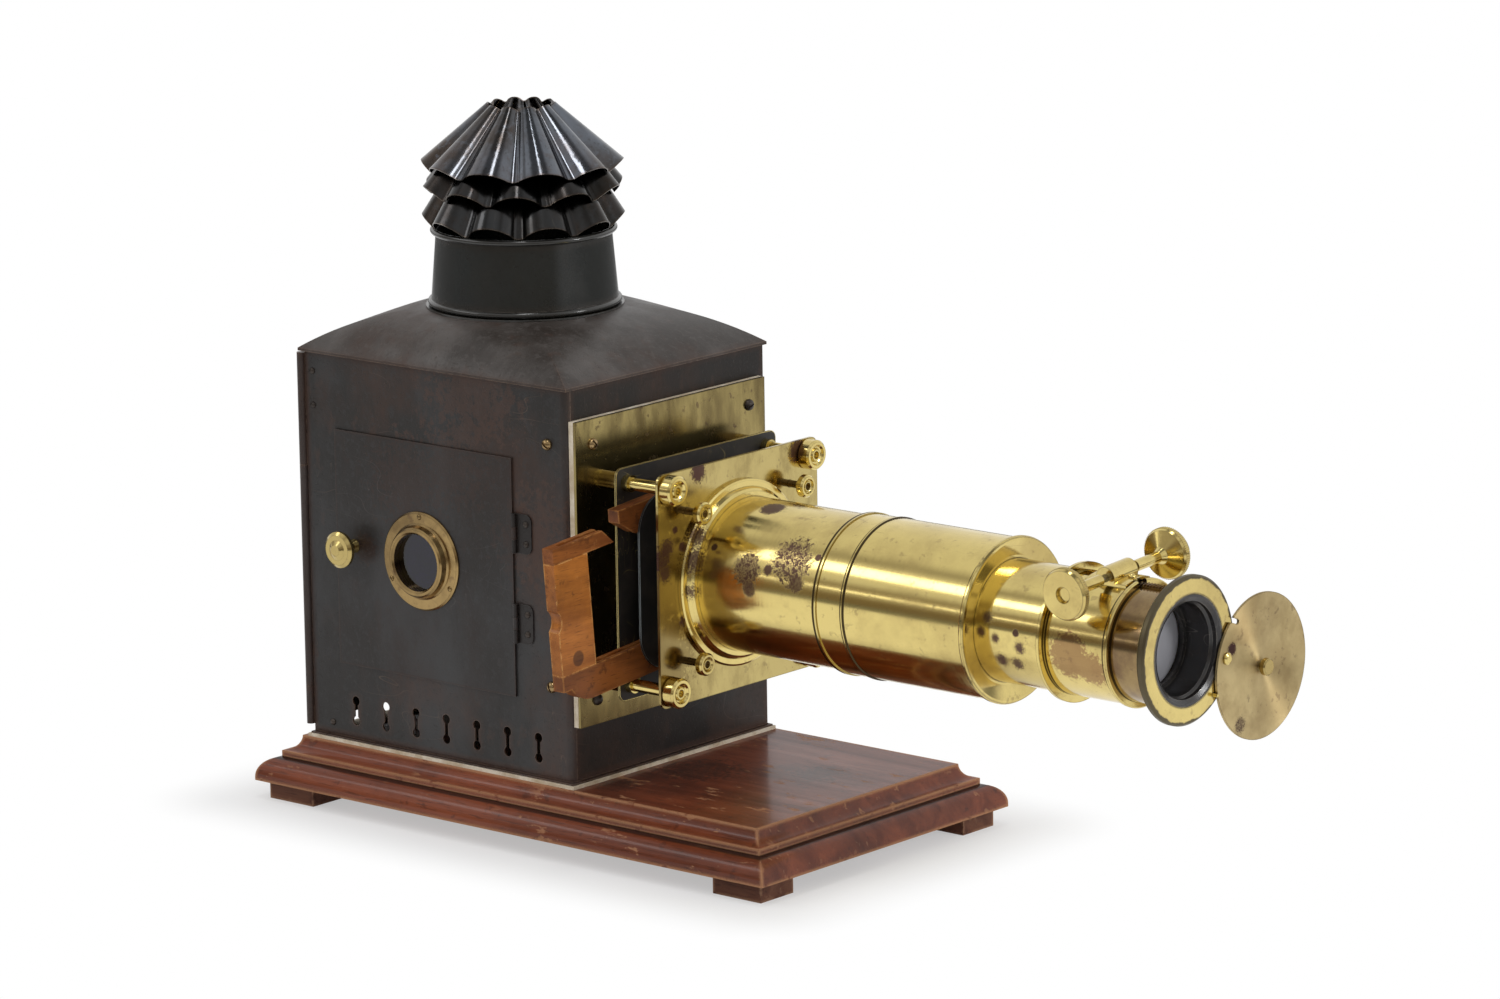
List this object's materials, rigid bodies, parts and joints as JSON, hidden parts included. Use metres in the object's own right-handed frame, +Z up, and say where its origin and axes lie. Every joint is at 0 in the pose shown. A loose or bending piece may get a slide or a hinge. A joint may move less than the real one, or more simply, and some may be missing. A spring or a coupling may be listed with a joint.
{
  "type": "magic lantern",
  "caption": "Sheet-iron magic lantern on a moulded wooden base, with fluted chimney cowl, hinged doors, sprung slide stage with wooden carrier, and brass rack-focused objective with swing cap.",
  "frame": {"origin": "on the table under the middle of the wooden base, in the plane of the feet", "axes": "+X forward along the optical axis, +Y to the lantern's left side when looking forward, +Z up"},
  "size_m": [0.7393, 0.2964, 0.5002],
  "materials": {
    "sheet_iron": "brown-black patinated sheet iron",
    "cowl_iron": "dark bare iron sheet with streaky sheen",
    "brass": "old lacquered brass, polished with tarnish",
    "mahogany": "worn varnished mahogany",
    "carrier_wood": "oiled light mahogany",
    "packing": "off-white packing strip",
    "black_metal": "dead black paint",
    "steel": "plain steel",
    "lens_glass": "clear glass",
    "blue_glass": "blue-violet glass",
    "tinplate": "dull tinplate",
    "wick": "woven cotton"
  },
  "bodies": {
    "house": {"base_lower_board": "mahogany", "base_upper_board": "mahogany", "base_feet": "mahogany", "base_packing": "packing", "near_side_wall": "sheet_iron", "far_side_wall": "sheet_iron", "front_wall": "sheet_iron", "roof": "sheet_iron", "chimney_socket": "sheet_iron", "side_hinge_leaves": "sheet_iron", "side_hinge_pins": "steel", "rear_hinge_rod": "steel", "front_packing": "packing", "back_plate": "brass", "wall_fasteners": "brass", "stage_plate": "black_metal", "stage_pillars": "brass", "pillar_nuts": "brass", "objective_plate": "brass", "nozzle_flange": "brass", "nozzle_tube": "brass", "pressure_springs": "steel", "condenser_cell": "brass", "condenser_lenses": "lens_glass"},
    "chimney": {"chimney_collar": "sheet_iron", "cowl_tier_lower": "cowl_iron", "cowl_tier_middle": "cowl_iron", "cowl_tier_upper": "cowl_iron"},
    "side_door": {"side_door": "sheet_iron", "side_door_knob": "brass", "window_bezel": "brass", "window_glass": "blue_glass", "bezel_screws": "brass"},
    "rear_door": {"rear_door": "sheet_iron"},
    "pressure": {"pressure_plate": "brass", "pull_rods": "brass", "pull_knobs": "brass"},
    "carrier": {"carrier_bottom_rail": "carrier_wood", "carrier_ends": "carrier_wood", "carrier_top_rails": "carrier_wood"},
    "slide": {"glass_slide": "lens_glass"},
    "draw": {"draw_sleeve": "brass", "sleeve_flange": "brass", "objective_jacket": "brass", "pinion_box": "brass"},
    "pinion": {"pinion_spindle": "brass", "pinion_knobs": "brass"},
    "focus": {"focus_tube": "brass", "focus_rack": "brass", "lens_flange": "brass", "lens_cell": "black_metal", "objective_lenses": "lens_glass", "cap_fasteners": "brass"},
    "cap": {"lens_cap": "brass", "cap_knob": "brass"},
    "lamp": {"lamp_reservoir": "tinplate", "lamp_burner": "brass", "lamp_reflector": "tinplate"},
    "wick": {"lamp_wick": "wick"},
    "wick_spindle": {"wick_spindle": "brass"}
  },
  "joints": [
    {"name": "chimney_lift", "type": "slide", "parent": "house", "child": "chimney", "axis": [0, 0, 1], "range_m": [0, 0.06]},
    {"name": "side_door_hinge", "type": "hinge", "parent": "house", "child": "side_door", "pos_m": [-0.0074, -0.1054, 0.19], "axis": [0, 0, 1], "range_deg": [0, 110]},
    {"name": "rear_door_hinge", "type": "hinge", "parent": "house", "child": "rear_door", "pos_m": [-0.2088, -0.1038, 0.19], "axis": [0, 0, 1], "range_deg": [0, 135]},
    {"name": "pressure_release", "type": "slide", "parent": "house", "child": "pressure", "axis": [1, 0, 0], "range_m": [0, 0.01], "stiffness_N_per_m": 600, "springref_m": -0.004, "deforming": ["pressure_springs"]},
    {"name": "carrier_slide", "type": "slide", "parent": "house", "child": "carrier", "axis": [0, 0.9959, 0.0906], "range_m": [-0.04, 0.05]},
    {"name": "slide_feed", "type": "slide", "parent": "carrier", "child": "slide", "axis": [0, 0.9959, 0.0906], "range_m": [-0.07, 0.026]},
    {"name": "draw_slide", "type": "slide", "parent": "house", "child": "draw", "axis": [1, 0, 0], "range_m": [-0.07, 0.025]},
    {"name": "focus_slide", "type": "slide", "parent": "draw", "child": "focus", "axis": [1, 0, 0], "range_m": [-0.012, 0.012]},
    {"name": "pinion_turn", "type": "hinge", "parent": "draw", "child": "pinion", "pos_m": [0.437, -0.00298, 0.2339], "axis": [0, -0.9978, -0.0663], "range_deg": [-172.5, 172.5]},
    {"name": "cap_swing", "type": "hinge", "parent": "focus", "child": "cap", "pos_m": [0.4947, 0.03904, 0.17647], "axis": [1, 0, 0], "range_deg": [0, 180]},
    {"name": "lamp_slide", "type": "slide", "parent": "house", "child": "lamp", "axis": [1, 0, 0], "range_m": [-0.03, 0.015]},
    {"name": "wick_turn", "type": "hinge", "parent": "lamp", "child": "wick_spindle", "pos_m": [-0.0991, 0, 0.1315], "axis": [0, -1, 0], "range_deg": [-57, 57]},
    {"name": "wick_raise", "type": "slide", "parent": "lamp", "child": "wick", "axis": [0, 0, 1], "range_m": [-0.005, 0.005]}
  ],
  "couplings": [
    {"joint": "pinion_turn", "follows": "focus_slide", "rad_per_m": 250},
    {"joint": "wick_raise", "follows": "wick_turn", "m_per_rad": 0.005}
  ]
}
